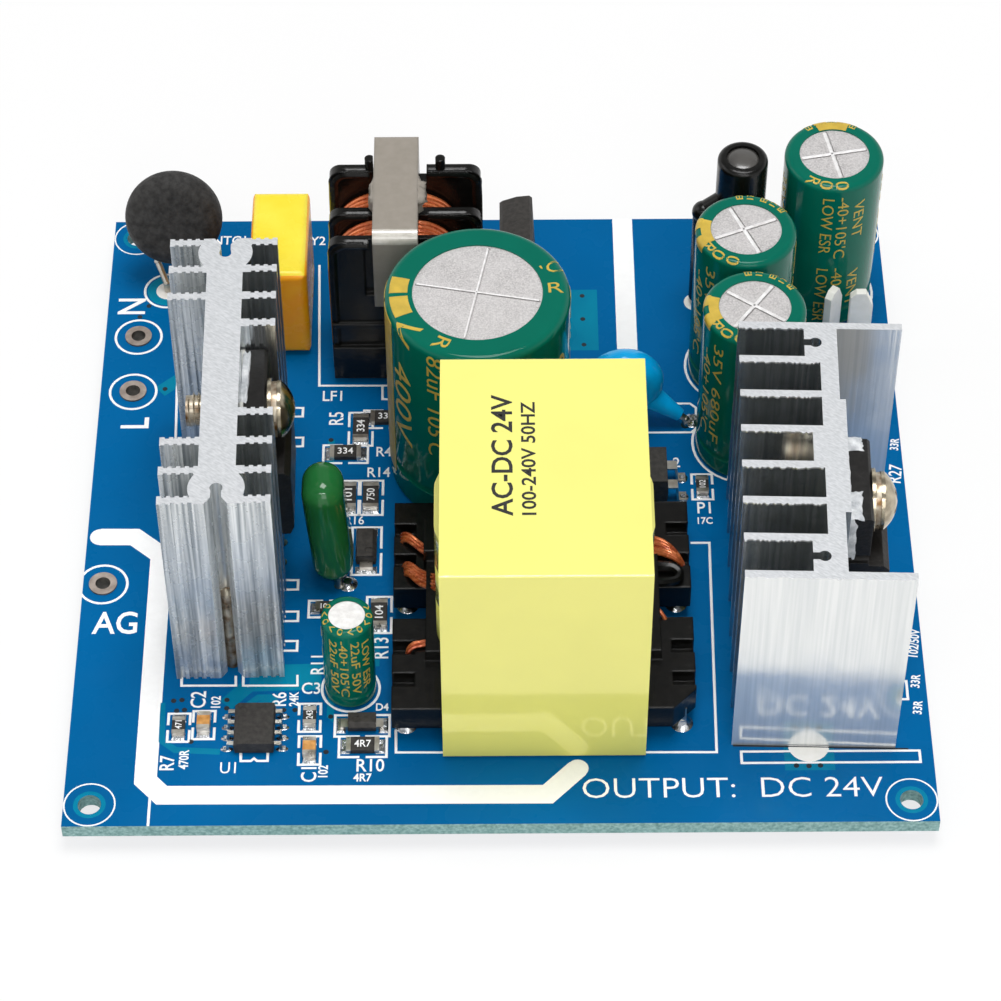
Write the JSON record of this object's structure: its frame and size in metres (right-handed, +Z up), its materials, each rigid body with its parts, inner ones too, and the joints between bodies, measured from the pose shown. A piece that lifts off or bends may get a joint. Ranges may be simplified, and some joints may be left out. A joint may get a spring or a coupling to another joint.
{
  "type": "switching power supply",
  "caption": "Open-frame switching power supply: a blue circuit board with finned heatsinks, a taped transformer, line filter and capacitors.",
  "frame": {"origin": "below the middle of the board, at the level of the clipped lead ends under it", "axes": "+Z up out of the component side, +X from the mains wire pads to the output blades, +Y from the edge by the controller chip to the edge by the line filter choke"},
  "size_m": [0.083, 0.08, 0.031],
  "materials": {
    "board_laminate": "blue solder mask over glass-fibre laminate",
    "tinned_copper": "tinned copper leads and pins",
    "solder": "bright solder",
    "extruded_aluminium": "extruded, saw-cut ends",
    "can_aluminium": "drawn",
    "sleeve_green": "printed shrink sleeve",
    "capacitor_rubber": "moulded",
    "ferrite": "ground sintered ferrite",
    "bobbin_black": "moulded",
    "copper_enamelled": "enamelled copper wire",
    "tape_yellow": "polyester tape",
    "box_yellow": "moulded box",
    "disc_black": "dipped coating",
    "film_green": "dipped epoxy",
    "ceramic_blue": "dipped epoxy",
    "epoxy_black": "moulded epoxy",
    "shrink_black": "heat-shrink sleeve",
    "thermal_pad": "silicone pad",
    "plated_steel": "nickel plated",
    "chip_ceramic": "sintered"
  },
  "bodies": {
    "root": {"circuit_board": "board_laminate", "wire_eyelets": "tinned_copper", "solder_joints": "solder", "surge_disc": "disc_black", "surge_disc_leads": "tinned_copper", "line_filter_capacitor": "box_yellow", "line_filter_capacitor_leads": "tinned_copper", "choke_core": "ferrite", "choke_bobbin": "bobbin_black", "choke_windings": "copper_enamelled", "choke_pins": "tinned_copper", "bridge_rectifier": "epoxy_black", "bridge_leads": "tinned_copper", "bulk_can": "can_aluminium", "bulk_sleeve": "sleeve_green", "startup_can": "can_aluminium", "startup_sleeve": "sleeve_green", "output_cans": "can_aluminium", "output_sleeves": "sleeve_green", "capacitor_seals": "capacitor_rubber", "capacitor_leads": "tinned_copper", "film_capacitor": "film_green", "film_capacitor_leads": "tinned_copper", "safety_capacitor": "ceramic_blue", "safety_capacitor_leads": "tinned_copper", "primary_heatsink": "extruded_aluminium", "secondary_heatsink": "extruded_aluminium", "heatsink_pins": "tinned_copper", "switch_transistor": "epoxy_black", "switch_leads": "tinned_copper", "output_rectifier": "epoxy_black", "rectifier_leads": "tinned_copper", "thermal_pads": "thermal_pad", "fixing_screws": "plated_steel", "spring_washers": "plated_steel", "flat_washers": "plated_steel", "transformer_core": "ferrite", "transformer_bobbin": "bobbin_black", "transformer_winding": "tape_yellow", "transformer_tape": "tape_yellow", "transformer_pins": "tinned_copper", "transformer_wires": "copper_enamelled", "rod_choke": "shrink_black", "rod_choke_leads": "tinned_copper", "output_blades": "tinned_copper", "controller_chip": "epoxy_black", "controller_leads": "tinned_copper", "optocoupler": "epoxy_black", "optocoupler_leads": "tinned_copper", "chip_resistors": "epoxy_black", "chip_capacitors": "chip_ceramic", "chip_end_caps": "tinned_copper", "diode_bodies": "epoxy_black", "diode_tabs": "tinned_copper"}
  },
  "joints": []
}
